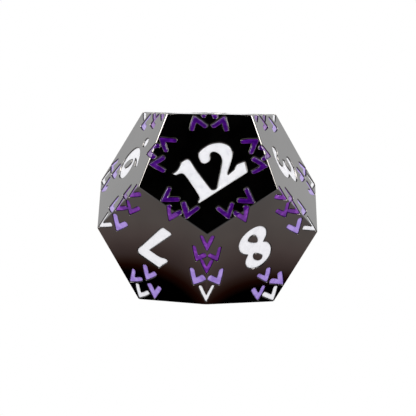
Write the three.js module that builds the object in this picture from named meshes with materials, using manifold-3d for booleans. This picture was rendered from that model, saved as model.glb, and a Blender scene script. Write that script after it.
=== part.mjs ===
// A twelve-sided die: a plated metal dodecahedron with recessed enamel numerals and chevrons.
// The origin is the centre of the die, +Z is up, and the die stands on face 11.
import * as THREE from 'three';
import { ConvexGeometry } from 'three/addons/geometries/ConvexGeometry.js';
import { mergeVertices } from 'three/addons/utils/BufferGeometryUtils.js';
import Module from 'manifold-3d';

const wasm = await Module();
wasm.setup();

// Driving dimensions, in millimetres.
const ACROSS_FACES = 19.0;
const EDGE_FLAT = 0.07; // how far each face stops short of the sharp edge, a narrow flat
const POCKET_DEPTH = 0.5;
const ENAMEL_RECESS = 0.12;
const ENAMEL_CLEARANCE = 0.04;
const TRIM_MARGIN = 0.02; // how far above the enamel its trimming surface lies
const CUTTER_OVERSHOOT = 0.6; // how far a pocket cutter stands above the metal
const CUTTER_REACH = 2.4; // how far a cutter across an edge goes down, past the deepest floor

const WELD = 1e-5; // vertices closer than this are one vertex
const MITRE_LIMIT = 0.5; // keeps sharp corners from running away when an outline is inset

// Proportions of a regular dodecahedron, each times the edge length.
const PHI = (1 + Math.sqrt(5)) / 2;
const FACE_DISTANCE = (PHI * PHI) / (2 * Math.sqrt(3 - PHI));
const EDGE_DISTANCE = (PHI * PHI) / 2;
const FACE_INRADIUS = 1 / (2 * Math.tan(Math.PI / 5));
const RING_HEIGHT = 1 / Math.sqrt(5); // height of a ring face's unit normal
const RING_RADIUS = 2 / Math.sqrt(5);
const EDGE = ACROSS_FACES / 2 / FACE_DISTANCE;
const ACROSS_EDGE = FACE_DISTANCE / EDGE_DISTANCE; // foreshortening in the plane across an edge
const EDGE_SLOPE = Math.acos(ACROSS_EDGE); // from that plane down to each face

// Numerals: heights and offsets in edge lengths, and the dot of 6 and 9 in numeral heights.
const NUMERAL_HEIGHT = 0.575;
const NUMERAL_OFFSET = -0.075; // ring numerals sit a little towards the pole face
const POLE_NUMERAL_HEIGHT = 0.545;
const POLE_NUMERAL_OFFSET = -0.032;
const CURVE_DIVISIONS = 1;
const OVAL_SEGMENTS = 18;
const DOT_RADII = [0.1, 0.125];
const DOT_TILT = -0.4;
const DOT_PLACE = [0.36, 0.07];

// Chevrons: [half opening in degrees, arm length, stroke], lengths in edge lengths.
const CHEVRON_POLE = [33, 0.17, 0.056];
const CHEVRON_ACROSS = [29.5, 0.197, 0.056];
const CHEVRON_PURPLE = [28, 0.18, 0.06];
const CHEVRON_PURPLE_SIDE = [28, 0.21, 0.06];
const CHEVRON_LILAC = [29, 0.18, 0.072];
const CHEVRON_CREST = [30, 0.218, 0.058];
const CHEVRON_FAR = [29, 0.175, 0.068];
const CHEVRON_FAR_SIDE = [26, 0.212, 0.068];
const CHEVRON_FAR_TIP = [33, 0.185, 0.058];
const APEX_CUT = 0.8; // how far along each arm its outer side starts, in half strokes

// The pole faces, 12 and 1, and the five faces round each, in order round the pole.
const FACES = [
  { number: 12, azimuth: 270, ring: 1, pole: 12 },
  { number: 2, azimuth: 0, ring: 2, pole: 12 },
  { number: 3, azimuth: 342, ring: 1, pole: 12 },
  { number: 8, azimuth: 306, ring: -1, pole: 12 },
  { number: 7, azimuth: 234, ring: -1, pole: 12 },
  { number: 9, azimuth: 198, ring: 1, pole: 12 },
  { number: 1, azimuth: 90, ring: -1, pole: 1 },
  { number: 11, azimuth: 0, ring: -2, pole: 1 },
  { number: 10, azimuth: 162, ring: -1, pole: 1 },
  { number: 5, azimuth: 126, ring: 1, pole: 1 },
  { number: 6, azimuth: 54, ring: 1, pole: 1 },
  { number: 4, azimuth: 18, ring: -1, pole: 1 },
];
const POLE_TURN = 36; // degrees from a pole face's first neighbour to the top of its numeral

const METAL = { color: 0x3c3b3d, roughness: 0.16, metalness: 1 };
const WHITE = { color: 0xececf2, roughness: 0.5, metalness: 0 };
const LILAC = { color: 0xa890dc, roughness: 0.5, metalness: 0 };
const PURPLE = { color: 0x6e1fa2, roughness: 0.45, metalness: 0 };

// ---- Directions ----

function faceNormal(face) {
  if (Math.abs(face.ring) === 2) return new THREE.Vector3(0, 0, Math.sign(face.ring));
  const turn = THREE.MathUtils.degToRad(face.azimuth);
  const x = RING_RADIUS * Math.cos(turn);
  const y = RING_RADIUS * Math.sin(turn);
  return new THREE.Vector3(x, y, RING_HEIGHT * face.ring);
}

function flattened(direction, normal) {
  return direction.clone().addScaledVector(normal, -direction.dot(normal)).normalize();
}

function frameAt(origin, up, normal) {
  const right = new THREE.Vector3().crossVectors(up, normal);
  return new THREE.Matrix4().makeBasis(right, up, normal).setPosition(origin);
}

// Each face's normal, and the in-plane direction of its numeral's top.
const normals = new Map(FACES.map((face) => [face.number, faceNormal(face)]));
const faceUps = new Map();
for (const face of FACES) {
  const normal = normals.get(face.number);
  if (face.number === face.pole) {
    const first = FACES[FACES.indexOf(face) + 1];
    const towards = flattened(normals.get(first.number), normal);
    const turn = THREE.MathUtils.degToRad(POLE_TURN);
    faceUps.set(face.number, towards.applyAxisAngle(normal, turn));
  } else {
    const pole = normals.get(face.pole);
    faceUps.set(face.number, flattened(pole, normal).negate());
  }
}

function faceFrame(number) {
  const normal = normals.get(number);
  const origin = normal.clone().multiplyScalar(FACE_DISTANCE * EDGE);
  return frameAt(origin, faceUps.get(number), normal);
}

// The frame at the middle of the edge between two faces, with up in the plane across both.
function edgeFrame(numberA, numberB, away) {
  const normal = normals.get(numberA).clone().add(normals.get(numberB)).normalize();
  const origin = normal.clone().multiplyScalar(EDGE_DISTANCE * EDGE);
  return frameAt(origin, flattened(away, normal), normal);
}

// ---- Solids ----

function toSolid(geometry) {
  const bare = geometry.clone();
  bare.deleteAttribute('normal');
  bare.deleteAttribute('uv');
  const merged = mergeVertices(bare, WELD);
  const vertProperties = new Float32Array(merged.attributes.position.array);
  const triVerts = new Uint32Array(merged.index.array);
  return new wasm.Manifold(new wasm.Mesh({ numProp: 3, vertProperties, triVerts }));
}

function toGeometry(solid) {
  const result = solid.getMesh();
  const geometry = new THREE.BufferGeometry();
  geometry.setAttribute('position', new THREE.BufferAttribute(result.vertProperties, 3));
  geometry.setIndex(new THREE.BufferAttribute(result.triVerts, 1));
  return geometry;
}

function toMesh(solid, name, look) {
  const geometry = toGeometry(solid);
  geometry.computeVertexNormals();
  const material = new THREE.MeshStandardMaterial({ ...look, flatShading: true });
  const mesh = new THREE.Mesh(geometry, material);
  mesh.name = name;
  return mesh;
}

// A dodecahedron whose faces lie `depth` inside the die's, with every edge flattened.
function dodecahedron(depth) {
  const distance = FACE_DISTANCE * EDGE - depth;
  const scale = distance / FACE_DISTANCE;
  const radius = (FACE_INRADIUS * scale - EDGE_FLAT) / Math.cos(Math.PI / 5);
  const points = [];
  for (const face of FACES) {
    const normal = normals.get(face.number);
    const towards = face.number === face.pole
      ? flattened(normals.get(FACES[FACES.indexOf(face) + 1].number), normal).negate()
      : faceUps.get(face.number);
    for (let corner = 0; corner < 5; corner += 1) {
      const spoke = towards.clone().applyAxisAngle(normal, (corner * 2 * Math.PI) / 5);
      points.push(normal.clone().multiplyScalar(distance).addScaledVector(spoke, radius));
    }
  }
  return toSolid(new ConvexGeometry(points));
}

// The two faces either side of an edge, sunk by `depth`, as a roof in the edge's own frame. Its
// ridge runs along the direction `ridgeAlong` ('x' or 'y').
function roof(depth, ridgeAlong) {
  const ridge = -depth / Math.cos(EDGE_SLOPE);
  const half = CUTTER_REACH;
  const eave = ridge - half * Math.tan(EDGE_SLOPE);
  const profile = new THREE.Shape();
  profile.moveTo(0, ridge);
  profile.lineTo(-half, eave);
  profile.lineTo(-half, -2 * CUTTER_REACH);
  profile.lineTo(half, -2 * CUTTER_REACH);
  profile.lineTo(half, eave);
  const length = 2 * EDGE;
  const geometry = new THREE.ExtrudeGeometry(profile, { depth: length, bevelEnabled: false });
  geometry.translate(0, 0, -length / 2);
  geometry.rotateX(Math.PI / 2);
  if (ridgeAlong === 'x') geometry.rotateZ(Math.PI / 2);
  return toSolid(geometry);
}

// Moves every side of a closed polygon inwards (its inside is on the left) by `distance`.
function insetPolygon(points, distance) {
  return points.map((point, index) => {
    const before = points[(index + points.length - 1) % points.length];
    const after = points[(index + 1) % points.length];
    const sideA = point.clone().sub(before).normalize();
    const sideB = after.clone().sub(point).normalize();
    const normalA = new THREE.Vector2(-sideA.y, sideA.x);
    const normalB = new THREE.Vector2(-sideB.y, sideB.x);
    const mitre = normalA.clone().add(normalB).normalize();
    return point.clone().addScaledVector(mitre, distance / Math.max(mitre.dot(normalA), MITRE_LIMIT));
  });
}

function wound(points, anticlockwise) {
  const turnsLeft = THREE.ShapeUtils.area(points) > 0;
  return turnsLeft === anticlockwise ? points : points.slice().reverse();
}

// A straight prism from `bottom` to `top`, from an outline and its holes in millimetres.
function prism({ outer, holes }, inset, bottom, top) {
  const shape = new THREE.Shape(insetPolygon(wound(outer, true), inset));
  for (const hole of holes) {
    shape.holes.push(new THREE.Path(insetPolygon(wound(hole, false), inset)));
  }
  const geometry = new THREE.ExtrudeGeometry(shape, { depth: top - bottom, bevelEnabled: false });
  geometry.translate(0, 0, bottom);
  return toSolid(geometry);
}

// ---- Outlines ----

// A closed outline from runs of points: straight from run to run, and smooth along each run.
function outline(runs) {
  const shape = new THREE.Shape();
  runs.forEach((run, index) => {
    const points = run.map(([x, y]) => new THREE.Vector2(x, y));
    if (index === 0) shape.moveTo(points[0].x, points[0].y);
    else shape.lineTo(points[0].x, points[0].y);
    if (points.length > 1) shape.splineThru(points.slice(1));
  });
  shape.closePath();
  const points = shape.getPoints(CURVE_DIVISIONS);
  return points.filter((point, index) => {
    const before = points[(index + points.length - 1) % points.length];
    return point.distanceTo(before) > WELD;
  });
}

function oval([x, y], [radiusX, radiusY], tilt) {
  const curve = new THREE.EllipseCurve(x, y, radiusX, radiusY, 0, 2 * Math.PI, false, tilt);
  return curve.getPoints(OVAL_SEGMENTS).slice(0, OVAL_SEGMENTS);
}

function placed(glyph, scale, [x, y], turn = 0) {
  const move = (point) => point.clone().multiplyScalar(scale)
    .rotateAround(new THREE.Vector2(), turn).add(new THREE.Vector2(x, y));
  return { outer: glyph.outer.map(move), holes: glyph.holes.map((hole) => hole.map(move)) };
}

// A chevron pointing along +Y, with its arms' centre lines meeting at the origin.
function chevron([halfOpening, arm, stroke]) {
  const lean = THREE.MathUtils.degToRad(halfOpening);
  const half = stroke / 2;
  const notch = new THREE.Vector2(0, -half / Math.sin(lean));
  const side = [];
  const along = new THREE.Vector2(Math.sin(lean), -Math.cos(lean));
  const across = new THREE.Vector2(Math.cos(lean), Math.sin(lean));
  side.push(along.clone().multiplyScalar(arm).addScaledVector(across, -half));
  side.push(along.clone().multiplyScalar(arm).addScaledVector(across, half));
  side.push(across.clone().multiplyScalar(half).addScaledVector(along, -half * APEX_CUT));
  const mirrored = side.map((point) => new THREE.Vector2(-point.x, point.y)).reverse();
  return { outer: [notch, ...side, ...mirrored], holes: [] };
}

// ---- Numerals: height 1, baseline at 0, about x = 0 ----

function glyphOne(foot = 0.33) {
  return { outer: outline([
    [[-0.15, 0], [-0.15, 0.03], [-0.05, 0.11], [-0.035, 0.3]],
    [[-0.03, 0.6], [-0.035, 0.73], [-0.09, 0.8], [-0.2, 0.815]],
    [[-0.245, 0.875], [-0.12, 0.885], [-0.02, 0.935], [0.06, 0.995]],
    [[0.15, 1.0], [0.215, 0.985], [0.235, 0.93]],
    [[0.225, 0.7], [0.225, 0.16], [0.25, 0.09], [0.31, 0.06]],
    [[foot, 0.06]],
    [[foot, 0]],
  ]), holes: [] };
}

function glyphTwo() {
  return { outer: outline([
    [[-0.42, 0]],
    [[-0.42, 0.06]],
    [[-0.38, 0.07], [-0.33, 0.1]],
    [[-0.06, 0.36], [0.06, 0.51], [0.105, 0.64], [0.095, 0.74], [0.04, 0.81], [-0.03, 0.82],
      [-0.085, 0.785], [-0.12, 0.715], [-0.19, 0.675], [-0.28, 0.685], [-0.325, 0.745],
      [-0.315, 0.84], [-0.275, 0.935]],
    [[-0.2, 0.978], [-0.075, 1.0], [0.09, 0.985], [0.255, 0.91], [0.345, 0.8], [0.375, 0.69],
      [0.335, 0.54], [0.235, 0.43], [-0.005, 0.24], [-0.035, 0.18]],
    [[0.16, 0.207], [0.225, 0.255], [0.29, 0.272], [0.435, 0.24]],
    [[0.345, 0]],
  ]), holes: [] };
}

function glyphThree() {
  return { outer: outline([
    [[-0.2, 0.735], [-0.27, 0.765], [-0.29, 0.845], [-0.24, 0.93], [-0.12, 0.99], [0, 1.0],
      [0.17, 0.955], [0.273, 0.845], [0.28, 0.74], [0.239, 0.645], [0.175, 0.565]],
    [[0.273, 0.485], [0.325, 0.35], [0.3, 0.19], [0.188, 0.06], [0, 0], [-0.205, 0.017],
      [-0.308, 0.08], [-0.316, 0.18], [-0.256, 0.24], [-0.175, 0.214], [-0.09, 0.15],
      [0.015, 0.145], [0.085, 0.235], [0.065, 0.35], [-0.02, 0.41], [-0.12, 0.44]],
    [[-0.11, 0.54], [0.005, 0.59], [0.068, 0.675], [0.055, 0.77], [-0.03, 0.82], [-0.12, 0.79]],
  ]), holes: [] };
}

function glyphFour() {
  return {
    outer: outline([
      [[0.02, 0], [0.26, 0]],
      [[0.25, 0.21]],
      [[0.38, 0.22], [0.375, 0.37]],
      [[0.25, 0.38]],
      [[0.25, 1.0], [0.1, 1.0]],
      [[-0.1, 0.78], [-0.3, 0.48], [-0.38, 0.36]],
      [[-0.38, 0.22], [0.03, 0.21]],
    ]),
    holes: [outline([[[0.03, 0.37]], [[0.02, 0.72]], [[-0.1, 0.56], [-0.22, 0.38]]])],
  };
}

function glyphFive() {
  return { outer: outline([
    [[-0.2, 1.0], [0.29, 1.0]],
    [[0.25, 0.83], [-0.07, 0.82]],
    [[-0.09, 0.65], [0.03, 0.665], [0.2, 0.6], [0.31, 0.46], [0.325, 0.32], [0.27, 0.15],
      [0.14, 0.03], [-0.03, 0], [-0.22, 0.02], [-0.31, 0.09], [-0.31, 0.18], [-0.25, 0.235],
      [-0.17, 0.21], [-0.09, 0.15], [0.01, 0.15], [0.08, 0.24], [0.075, 0.37], [0, 0.46],
      [-0.11, 0.475], [-0.24, 0.43]],
  ]), holes: [] };
}

function glyphSeven() {
  return { outer: outline([
    [[-0.15, 0.04], [-0.13, 0], [0.06, 0], [0.11, 0.08]],
    [[0.355, 0.79], [0.395, 0.89], [0.39, 0.96], [0.345, 1.0]],
    [[-0.17, 1.0]],
    [[-0.21, 0.885], [-0.285, 0.73], [-0.235, 0.69], [-0.13, 0.735], [-0.04, 0.75]],
    [[0.175, 0.75]],
  ]), holes: [] };
}

function glyphEight() {
  return {
    outer: outline([
      [[0.18, 0.556], [0.265, 0.65], [0.3, 0.75], [0.27, 0.87], [0.16, 0.965], [-0.02, 1.0],
        [-0.21, 0.93], [-0.305, 0.8], [-0.325, 0.67], [-0.285, 0.55], [-0.205, 0.475]],
      [[-0.32, 0.36], [-0.35, 0.23], [-0.3, 0.1], [-0.18, 0.018], [0, 0], [0.18, 0.055],
        [0.295, 0.175], [0.325, 0.335], [0.27, 0.475]],
    ]),
    holes: [
      outline([[[-0.05, 0.862], [0.034, 0.846], [0.1, 0.752], [0.094, 0.65], [0.043, 0.62],
        [-0.034, 0.684], [-0.106, 0.803]]]),
      outline([[[-0.065, 0.393], [0.045, 0.308], [0.094, 0.222], [0.017, 0.154],
        [-0.085, 0.179], [-0.12, 0.282], [-0.11, 0.365]]]),
    ],
  };
}

function glyphNine() {
  return {
    outer: outline([
      [[-0.21, 0.0], [-0.12, 0.03], [0.05, 0.085], [0.21, 0.195], [0.33, 0.345], [0.375, 0.52],
        [0.365, 0.68], [0.31, 0.845], [0.2, 0.955], [0.06, 1.0], [-0.08, 0.965], [-0.2, 0.875],
        [-0.285, 0.73], [-0.305, 0.575], [-0.25, 0.43], [-0.13, 0.335], [0.0, 0.315]],
      [[0.1, 0.335], [0.03, 0.24], [-0.06, 0.17], [-0.17, 0.11]],
    ]),
    holes: [oval([0.04, 0.645], [0.098, 0.2], 0)],
  };
}

function glyphSix() {
  const nine = placed(glyphNine(), 1, [0, 0], Math.PI);
  return placed(nine, 1, [0, 1]);
}

function glyphZero() {
  return { outer: oval([0, 0.5], [0.33, 0.5], 0), holes: [oval([0, 0.5], [0.11, 0.34], 0)] };
}

// Each numeral is a list of glyphs with their x shifts; a longer foot on the 1 reaches the next.
const NUMERALS = {
  1: [[glyphOne, -0.06]],
  2: [[glyphTwo, -0.02]],
  3: [[glyphThree, 0]],
  4: [[glyphFour, 0]],
  5: [[glyphFive, 0]],
  6: [[glyphSix, 0]],
  7: [[glyphSeven, 0]],
  8: [[glyphEight, 0]],
  9: [[glyphNine, 0]],
  10: [[() => glyphOne(0.62), -0.42], [glyphZero, 0.27]],
  11: [[() => glyphOne(0.6), -0.38], [glyphOne, 0.24]],
  12: [[() => glyphOne(0.4), -0.475], [glyphTwo, 0.28]],
};
const DOTTED = [6, 9];

// ---- Chevron places ----
// A place is in edge lengths in its frame, with its turn in degrees.

function place(frame, x, y, turn, kind) {
  return { frame, x, y, turn, kind, squeeze: 1, ridgeAlong: null };
}

function poleNeighbours(pole) {
  return FACES.filter((face) => face.pole === pole && face.number !== pole)
    .map((face) => face.number);
}

// Three chevrons at a pole edge: one across the edge and two inside the pole face.
function poleEdgePlaces(pole, ring) {
  const awayFromPole = normals.get(ring);
  const across = edgeFrame(pole, ring, awayFromPole);
  const onFace = frameAt(
    normals.get(pole).clone().multiplyScalar(FACE_DISTANCE * EDGE),
    flattened(awayFromPole, normals.get(pole)),
    normals.get(pole),
  );
  return [
    { ...place(across, 0, 0.106, 0, CHEVRON_ACROSS), ridgeAlong: 'x' },
    place(onFace, -0.165, 0.629, 19, CHEVRON_POLE),
    place(onFace, 0.165, 0.629, -19, CHEVRON_POLE),
  ];
}

// Places beside the edge between two ring faces, mirrored on to both faces.
function besideEdge(ringA, ringB, x, y, kind) {
  return [ringA, ringB].map((ring) => {
    const frame = faceFrame(ring);
    const other = ring === ringA ? ringB : ringA;
    const right = new THREE.Vector3().setFromMatrixColumn(frame, 0);
    const side = Math.sign(right.dot(normals.get(other)));
    return place(frame, x * side, y, 0, kind);
  });
}

function ringEdgePlace(pole, ringA, ringB, along, kind) {
  const away = normals.get(pole).clone().negate();
  const spot = place(edgeFrame(ringA, ringB, away), 0, along - 0.5, 0, kind);
  return { ...spot, squeeze: ACROSS_EDGE, ridgeAlong: 'y' };
}

function ringEdgePurple(pole, ringA, ringB) {
  return [
    ringEdgePlace(pole, ringA, ringB, 0.222, CHEVRON_PURPLE),
    ringEdgePlace(pole, ringA, ringB, 0.52, CHEVRON_PURPLE),
    ...besideEdge(ringA, ringB, 0.48, -0.262, CHEVRON_PURPLE_SIDE),
  ];
}

function ringEdgePale(pole, ringA, ringB) {
  return [
    ...besideEdge(ringA, ringB, 0.565, 0.072, CHEVRON_LILAC),
    ringEdgePlace(pole, ringA, ringB, 0.905, CHEVRON_CREST),
  ];
}

function farCorner(ring) {
  const frame = faceFrame(ring);
  return [
    place(frame, 0, 0.468, 0, CHEVRON_FAR),
    place(frame, -0.159, 0.648, 19, CHEVRON_FAR_SIDE),
    place(frame, 0.159, 0.648, -19, CHEVRON_FAR_SIDE),
    place(frame, 0, 0.77, 0, CHEVRON_FAR_TIP),
  ];
}

// Trims enamel that runs over an edge; just above the enamel's own level.
const enamelLimit = dodecahedron(ENAMEL_RECESS - TRIM_MARGIN);

function flatRecess(shape, asEnamel) {
  if (!asEnamel) return prism(shape, 0, -POCKET_DEPTH, CUTTER_OVERSHOOT);
  return prism(shape, ENAMEL_CLEARANCE, ENAMEL_CLEARANCE - POCKET_DEPTH, -ENAMEL_RECESS);
}

// A recess over an edge, whose floor follows the faces on both sides.
function ridgedRecess(shape, ridgeAlong, asEnamel) {
  const inset = asEnamel ? ENAMEL_CLEARANCE : 0;
  const block = prism(shape, inset, -CUTTER_REACH, CUTTER_OVERSHOOT)
    .subtract(roof(POCKET_DEPTH - inset, ridgeAlong));
  return asEnamel ? block.intersect(roof(ENAMEL_RECESS, ridgeAlong)) : block;
}

function chevronRecess({ x, y, turn, kind, squeeze, ridgeAlong }, asEnamel) {
  const lean = THREE.MathUtils.degToRad(turn);
  const shape = placed(chevron(kind), EDGE, [x * EDGE, y * EDGE], lean);
  shape.outer.forEach((point) => point.setX(point.x * squeeze));
  return ridgeAlong ? ridgedRecess(shape, ridgeAlong, asEnamel) : flatRecess(shape, asEnamel);
}

function moved(solid, frame) {
  return toSolid(toGeometry(solid).applyMatrix4(frame));
}

// A cluster's recesses, joined frame by frame and then to each other.
function clusterRecess(places, asEnamel) {
  const byFrame = Map.groupBy(places, (spot) => spot.frame);
  return joined([...byFrame].map(([frame, spots]) => {
    const together = moved(joined(spots.map((spot) => chevronRecess(spot, asEnamel))), frame);
    const trimmed = asEnamel && spots.some((spot) => spot.kind === CHEVRON_PURPLE_SIDE);
    return trimmed ? together.intersect(enamelLimit) : together;
  }));
}

function joined(solids) {
  return solids.reduce((all, next) => all.add(next));
}

// ---- The recesses, each with the enamel that fills it ----

const inlays = [];

for (const face of FACES) {
  const frame = faceFrame(face.number);
  const isPole = face.number === face.pole;
  const height = EDGE * (isPole ? POLE_NUMERAL_HEIGHT : NUMERAL_HEIGHT);
  const offset = EDGE * (isPole ? POLE_NUMERAL_OFFSET : NUMERAL_OFFSET);
  const baseline = offset - height / 2;
  const glyphs = NUMERALS[face.number]
    .map(([glyph, shift]) => placed(glyph(), height, [shift * height, baseline]));
  inlays.push({
    name: `numeral_${face.number}`,
    look: WHITE,
    sink: (asEnamel) => moved(joined(glyphs.map((glyph) => flatRecess(glyph, asEnamel))), frame),
  });
  if (DOTTED.includes(face.number)) {
    const dot = { outer: oval(DOT_PLACE, DOT_RADII, DOT_TILT), holes: [] };
    const dotShape = placed(dot, height, [0, baseline]);
    inlays.push({
      name: `dot_${face.number}`,
      look: WHITE,
      sink: (asEnamel) => moved(flatRecess(dotShape, asEnamel), frame),
    });
  }
}

for (const pole of [12, 1]) {
  const ring = poleNeighbours(pole);
  ring.forEach((number, index) => {
    const next = ring[(index + 1) % ring.length];
    const groups = [
      [`chevrons_${pole}_${number}_purple`, PURPLE, poleEdgePlaces(pole, number)],
      [`chevrons_${number}_${next}_purple`, PURPLE, ringEdgePurple(pole, number, next)],
      [`chevrons_${number}_${next}_pale`, LILAC, ringEdgePale(pole, number, next)],
      [`chevrons_${number}_corner_pale`, LILAC, farCorner(number)],
    ];
    for (const [name, look, places] of groups) {
      inlays.push({ name, look, sink: (asEnamel) => clusterRecess(places, asEnamel) });
    }
  });
}

// ---- The assembly ----

const die = new THREE.Group();
let body = dodecahedron(0);
for (const inlay of inlays) {
  body = body.subtract(inlay.sink(false));
  die.add(toMesh(inlay.sink(true), inlay.name, inlay.look));
}
die.add(toMesh(body, 'die_body', METAL));

export default die;
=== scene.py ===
# A twelve-sided die: dark plated metal with enamel numerals and chevrons laid into its faces.
import math
import random
from itertools import permutations

import bmesh
import bpy
from mathutils import Matrix, Vector, noise
from mathutils.geometry import delaunay_2d_cdt


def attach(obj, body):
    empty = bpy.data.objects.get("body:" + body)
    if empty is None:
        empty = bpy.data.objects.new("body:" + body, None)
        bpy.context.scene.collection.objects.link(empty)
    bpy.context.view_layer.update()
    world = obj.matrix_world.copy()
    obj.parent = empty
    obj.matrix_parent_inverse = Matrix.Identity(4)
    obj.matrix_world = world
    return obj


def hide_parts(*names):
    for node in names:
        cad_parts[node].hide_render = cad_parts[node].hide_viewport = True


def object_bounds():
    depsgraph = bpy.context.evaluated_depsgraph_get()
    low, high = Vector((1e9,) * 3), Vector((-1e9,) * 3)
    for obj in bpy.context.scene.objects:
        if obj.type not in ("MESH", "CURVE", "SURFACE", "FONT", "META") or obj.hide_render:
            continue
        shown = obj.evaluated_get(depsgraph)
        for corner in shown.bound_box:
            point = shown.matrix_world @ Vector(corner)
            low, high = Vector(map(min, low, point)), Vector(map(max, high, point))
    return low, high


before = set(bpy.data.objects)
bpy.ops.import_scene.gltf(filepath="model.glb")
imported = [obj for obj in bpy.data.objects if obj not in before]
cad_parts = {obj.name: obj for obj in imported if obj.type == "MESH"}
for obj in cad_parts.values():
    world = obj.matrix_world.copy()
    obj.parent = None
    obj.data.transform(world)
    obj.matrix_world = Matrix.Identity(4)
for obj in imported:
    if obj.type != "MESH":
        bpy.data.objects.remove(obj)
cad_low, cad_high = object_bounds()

# ---- Sizes: millimetres unless a comment says edges, which are lengths of the die's edge ----

MM = 0.001  # shapes are made in millimetres and scaled to metres as each piece is finished
PHI = (1 + math.sqrt(5)) / 2
FACE_DISTANCE = PHI ** 2 / (2 * math.sqrt(3 - PHI))  # from the centre to a face, in edges
EDGE_DISTANCE = PHI ** 2 / 2  # from the centre to the middle of an edge, in edges
ACROSS_EDGE = FACE_DISTANCE / EDGE_DISTANCE  # foreshortening of a face in the plane of an edge
EDGE_SLOPE = math.acos(ACROSS_EDGE)  # from that plane down to each face
EDGE = (cad_high.z - cad_low.z) / 2 / FACE_DISTANCE / MM
SPAN = EDGE * MM  # one edge in metres
RING_HEIGHT = 1 / math.sqrt(5)  # of a ring face's unit normal
RING_RADIUS = 2 / math.sqrt(5)
NEIGHBOUR_COSINE = 0.4  # faces that share a corner turn by less than this

ROUND_RADIUS = 0.22  # of the die's edges
ROUND_SEGMENTS = 8
FLAT_COSINE = math.cos(math.radians(0.7))  # within this of a face, the metal is shaded flat
ROLL_COSINE = math.cos(math.radians(12))  # within this, a rolled edge blends into the face

# The pockets: straight walls that end in a rolled rim.
POCKET_DEPTH = 0.5
RIM_RADIUS = 0.1
RIM_TURN = math.radians(62)
RIM_STEPS = 4
RIM_RISE = 0.05  # how far the rim's slope goes on above the face
OVERSHOOT = 0.4  # how far a pocket's cutter stands above the face

# The enamel: a little below the face, with a rounded border and an uneven top.
ENAMEL_LEVEL = -0.075
ENAMEL_GAP = 0.008
ENAMEL_CROWN = ((0.0, -0.075), (0.022, -0.03), (0.06, -0.008), (0.1, 0.0))  # inset and height
RIPPLE = 0.012
RIPPLE_SCALE = 2.6
FINE_RIPPLE = (0.5, 2.3)  # height and scale against the first
GRID = 0.17
GRID_ROW = 0.9  # height of a row, in grid steps
GRID_MARGIN = 0.05

# Outlines.
CORNER_ARC = 5
CORNER_SHARE = 0.48  # the most of a side that a rounded corner takes
MITRE_LIMIT = 0.3
FOLD_REACH = 16  # points
FOLD_SHARE = 0.9995  # a grown point nearer than this share of the growth belongs to a fold
SPLINE_STEPS = 6
OVAL_POINTS = 44
RIDGE_CUTS = (-1.0, -0.6, -0.2, 0.2, 0.6, 1.0)  # across a rolled edge
WELD = 2e-5
TOUCH = 1e-5
PLACES = 1e5  # per millimetre: points that round to the same place share a vertex
TINY = 1e-6
TINY_SQUARED = 1e-10
SIDE_FLOOR = 1e-18  # stands in for the square of a side of no length
PARALLEL = 1e-12  # sides with a smaller cross product never cross
FILL_INSIDE = 1  # delaunay_2d_cdt's mode that fills the outer boundary
FILL_TOLERANCE = 1e-7

# Numerals: heights and offsets in edges.
NUMERAL_HEIGHT = 0.58
NUMERAL_OFFSET = -0.075
POLE_NUMERAL_HEIGHT = 0.545
POLE_NUMERAL_OFFSET = -0.032
NUMERAL_ROUND = 0.09
NUMERAL_WEIGHT = 0.025  # added all round the numerals of the ring faces
NUMERAL_SPACING = 0.02  # least distance between two points of an outline

# A painted shadow on the floor, shown only as the metal mirrors it, black under the die: lengths
# in edges.
FLOOR_SIZE = 60
FLOOR_GAP = 0.00002  # metres
FLOOR_SHADE_CENTRE = (-0.14, 0.75)
FLOOR_SHADE_RADII = (2.1, 1.78)
FLOOR_SHADE_SPAN = (0.8, 1.6)
FLOOR_SHADE = (
    (0.05, (0, 0, 0)), (0.115, (0.11, 0.025, 0.012)), (0.165, (0.26, 0.14, 0.11)),
    (0.22, (0.45, 0.31, 0.29)), (0.3, (0.62, 0.45, 0.42)), (0.4, (0.84, 0.66, 0.62)),
    (0.55, (1.0, 0.86, 0.80)), (1.0, (1.05, 0.98, 0.95)),
)

# The room as the metal mirrors it: each pair of directions fades between a pair of levels.
ROOM_TOP = ((0.34, 0.52), (1.0, 0.015))  # dark overhead
ROOM_BACK = ((-0.6, 0.4), (0.55, 1.38))  # brighter behind the die
ROOM_GAP = ((0.05, 0.2), (0.05, 1.0))  # a dark strip straight behind
ROOM_GAP_FOOT = ((0.07, 0.12), (1.0, 0.0))  # where that strip starts, above the horizon

# Soft boxes, one each side: direction on the right, distance, width and height in edges,
# radiance, colour. None lies where a flat face mirrors it at the photo's viewing angle.
WARM = (1.0, 0.97, 0.92)
WHITE = (1.0, 1.0, 1.0)
SOFT_BOXES = (
    ("top_box", (0.6, -0.1, 0.79), 24, 12, 12, 18.0, WARM),
    ("crown_box", (0.38, -0.2, 0.9), 24, 10, 10, 26.0, WARM),
    ("front_box", (0.78, -0.6, 0.18), 26, 14, 14, 1.3, WHITE),
    ("side_box", (0.86, -0.3, 0.42), 24, 8, 8, 18.0, WARM),
    ("rear_box", (0.42, 0.3, 0.86), 24, 8, 6, 20.0, WARM),
)

CAMERA_LENS = 224.0
CAMERA_SENSOR = 36.0
CAMERA_PLACE = Vector((0.003, -31.06, 1.534))  # in edges
CAMERA_PITCH = math.radians(2.87)
CAMERA_ROLL = math.radians(0.98)

# Two pole faces, each with five faces round it, in order: number, azimuth of the normal in
# degrees, ring (2 the top, 1 the upper, -1 the lower, -2 the bottom), and the pole's number.
FACES = (
    (12, 270, 1, 12), (2, 0, 2, 12), (3, 342, 1, 12), (8, 306, -1, 12), (7, 234, -1, 12),
    (9, 198, 1, 12), (1, 90, -1, 1), (11, 0, -2, 1), (10, 162, -1, 1), (5, 126, 1, 1),
    (6, 54, 1, 1), (4, 18, -1, 1),
)
POLE_TURN = math.radians(36)  # from the middle of an edge to a corner


# ---- Directions ----

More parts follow.
